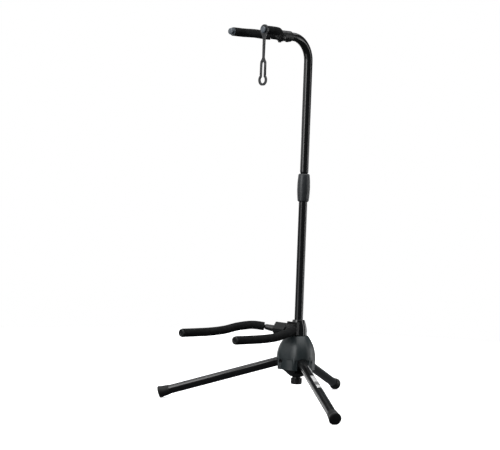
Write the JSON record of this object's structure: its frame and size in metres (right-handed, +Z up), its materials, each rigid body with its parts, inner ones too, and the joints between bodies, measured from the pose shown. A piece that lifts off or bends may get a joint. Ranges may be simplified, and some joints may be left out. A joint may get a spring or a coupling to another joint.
{
  "type": "folding guitar stand",
  "caption": "Folding tripod guitar stand with a domed hub, a telescopic mast, a padded body cradle and a padded neck yoke with a rubber strap.",
  "frame": {"origin": "on the floor, in the middle of the stand's footprint; the mast axis stands 18 mm towards -X and 4 mm towards -Y of it", "axes": "+Z up along the mast; the cradle and the neck yoke reach towards -Y; +X is the side of the strap"},
  "size_m": [0.5078, 0.551, 0.8179],
  "materials": {
    "gloss_black_tube": "gloss",
    "gloss_black_collar": "gloss",
    "dome_plastic": "satin, fine moulded grain",
    "black_plastic": "satin",
    "clutch_plastic": "matte",
    "grey_plastic": "satin",
    "glide_plastic": "smooth",
    "foam": "closed-cell foam, matt",
    "rubber": "matt rubber",
    "strap_rubber": "satin rubber",
    "screw_black": "blackened",
    "zinc_steel": "zinc plated",
    "brass": "turned"
  },
  "bodies": {
    "tripod_hub": {"hub_dome": "dome_plastic", "hub_socket": "black_plastic", "hub_screws": "zinc_steel", "leg_pivot_screws": "screw_black"},
    "leg_1": {"leg_hinge_1": "black_plastic", "leg_tube_1": "gloss_black_tube", "leg_foot_1": "rubber"},
    "leg_2": {"leg_hinge_2": "black_plastic", "leg_tube_2": "gloss_black_tube", "leg_foot_2": "rubber"},
    "leg_3": {"leg_hinge_3": "black_plastic", "leg_tube_3": "gloss_black_tube", "leg_foot_3": "rubber"},
    "lock_cup": {"lock_cup": "black_plastic"},
    "lock_knob": {"lock_knob": "black_plastic", "lock_stud": "zinc_steel"},
    "lower_mast": {"mast_plug": "brass", "lower_tube": "gloss_black_tube", "mast_collar": "gloss_black_collar", "cradle_bracket": "black_plastic", "bracket_screws": "zinc_steel", "cradle_pin": "screw_black", "cradle_pin_nut": "zinc_steel", "clutch_body": "black_plastic", "clutch_collet": "black_plastic"},
    "cradle": {"cradle_horns": "black_plastic", "cradle_rod_left": "gloss_black_tube", "cradle_rod_right": "gloss_black_tube", "cradle_pad_left": "foam", "cradle_pad_right": "foam", "cradle_cap_left": "grey_plastic", "cradle_cap_right": "grey_plastic"},
    "clutch_sleeve": {"clutch_sleeve": "clutch_plastic"},
    "glide": {"glide_bush": "glide_plastic"},
    "upper_mast": {"upper_tube": "gloss_black_tube", "yoke_fork": "black_plastic", "yoke_screws": "screw_black", "yoke_rod_left": "gloss_black_tube", "yoke_rod_right": "gloss_black_tube", "yoke_pad_left": "foam", "yoke_pad_right": "foam", "yoke_cap_left": "grey_plastic", "yoke_cap_right": "grey_plastic"},
    "neck_strap": {"neck_strap": "strap_rubber"}
  },
  "joints": [
    {"name": "leg_1_fold", "type": "hinge", "parent": "tripod_hub", "child": "leg_1", "pos_m": [-0.04425, -0.02715, 0.0955], "axis": [0.6613, -0.7501, 0], "range_deg": [0, 72]},
    {"name": "leg_2_fold", "type": "hinge", "parent": "tripod_hub", "child": "leg_2", "pos_m": [0.01231, -0.0215, 0.0955], "axis": [0.5, 0.866, 0], "range_deg": [0, 72]},
    {"name": "leg_3_fold", "type": "hinge", "parent": "tripod_hub", "child": "leg_3", "pos_m": [-0.03362, 0.02732, 0.0955], "axis": [-0.8949, -0.4462, 0], "range_deg": [0, 72]},
    {"name": "lock_cup_drop", "type": "slide", "parent": "tripod_hub", "child": "lock_cup", "axis": [0, 0, -1], "range_m": [0, 0.0025]},
    {"name": "lock_knob_turn", "type": "hinge", "parent": "lock_cup", "child": "lock_knob", "pos_m": [-0.018, -0.004, 0.05], "axis": [0, 0, -1], "range_deg": [0, 720]},
    {"name": "mast_turn", "type": "hinge", "parent": "tripod_hub", "child": "lower_mast", "pos_m": [-0.018, -0.004, 0.15], "axis": [0, 0, 1], "continuous": true},
    {"name": "cradle_fold", "type": "hinge", "parent": "lower_mast", "child": "cradle", "pos_m": [-0.018, -0.042, 0.166], "axis": [-1, 0, 0], "range_deg": [0, 90]},
    {"name": "clutch_turn", "type": "hinge", "parent": "lower_mast", "child": "clutch_sleeve", "pos_m": [-0.018, -0.004, 0.477], "axis": [0, 0, 1], "range_deg": [0, 90]},
    {"name": "mast_height", "type": "slide", "parent": "lower_mast", "child": "glide", "axis": [0, 0, 1], "range_m": [0, 0.25]},
    {"name": "yoke_turn", "type": "hinge", "parent": "glide", "child": "upper_mast", "pos_m": [-0.018, -0.004, 0.4], "axis": [0, 0, 1], "continuous": true},
    {"name": "strap_swing", "type": "hinge", "parent": "upper_mast", "child": "neck_strap", "pos_m": [0.032, -0.19, 0.8065], "axis": [0, 1, 0], "range_deg": [-90, 75]}
  ],
  "couplings": [
    {"joint": "lock_knob_turn", "follows": "lock_cup_drop", "rad_per_m": 5026.5}
  ]
}
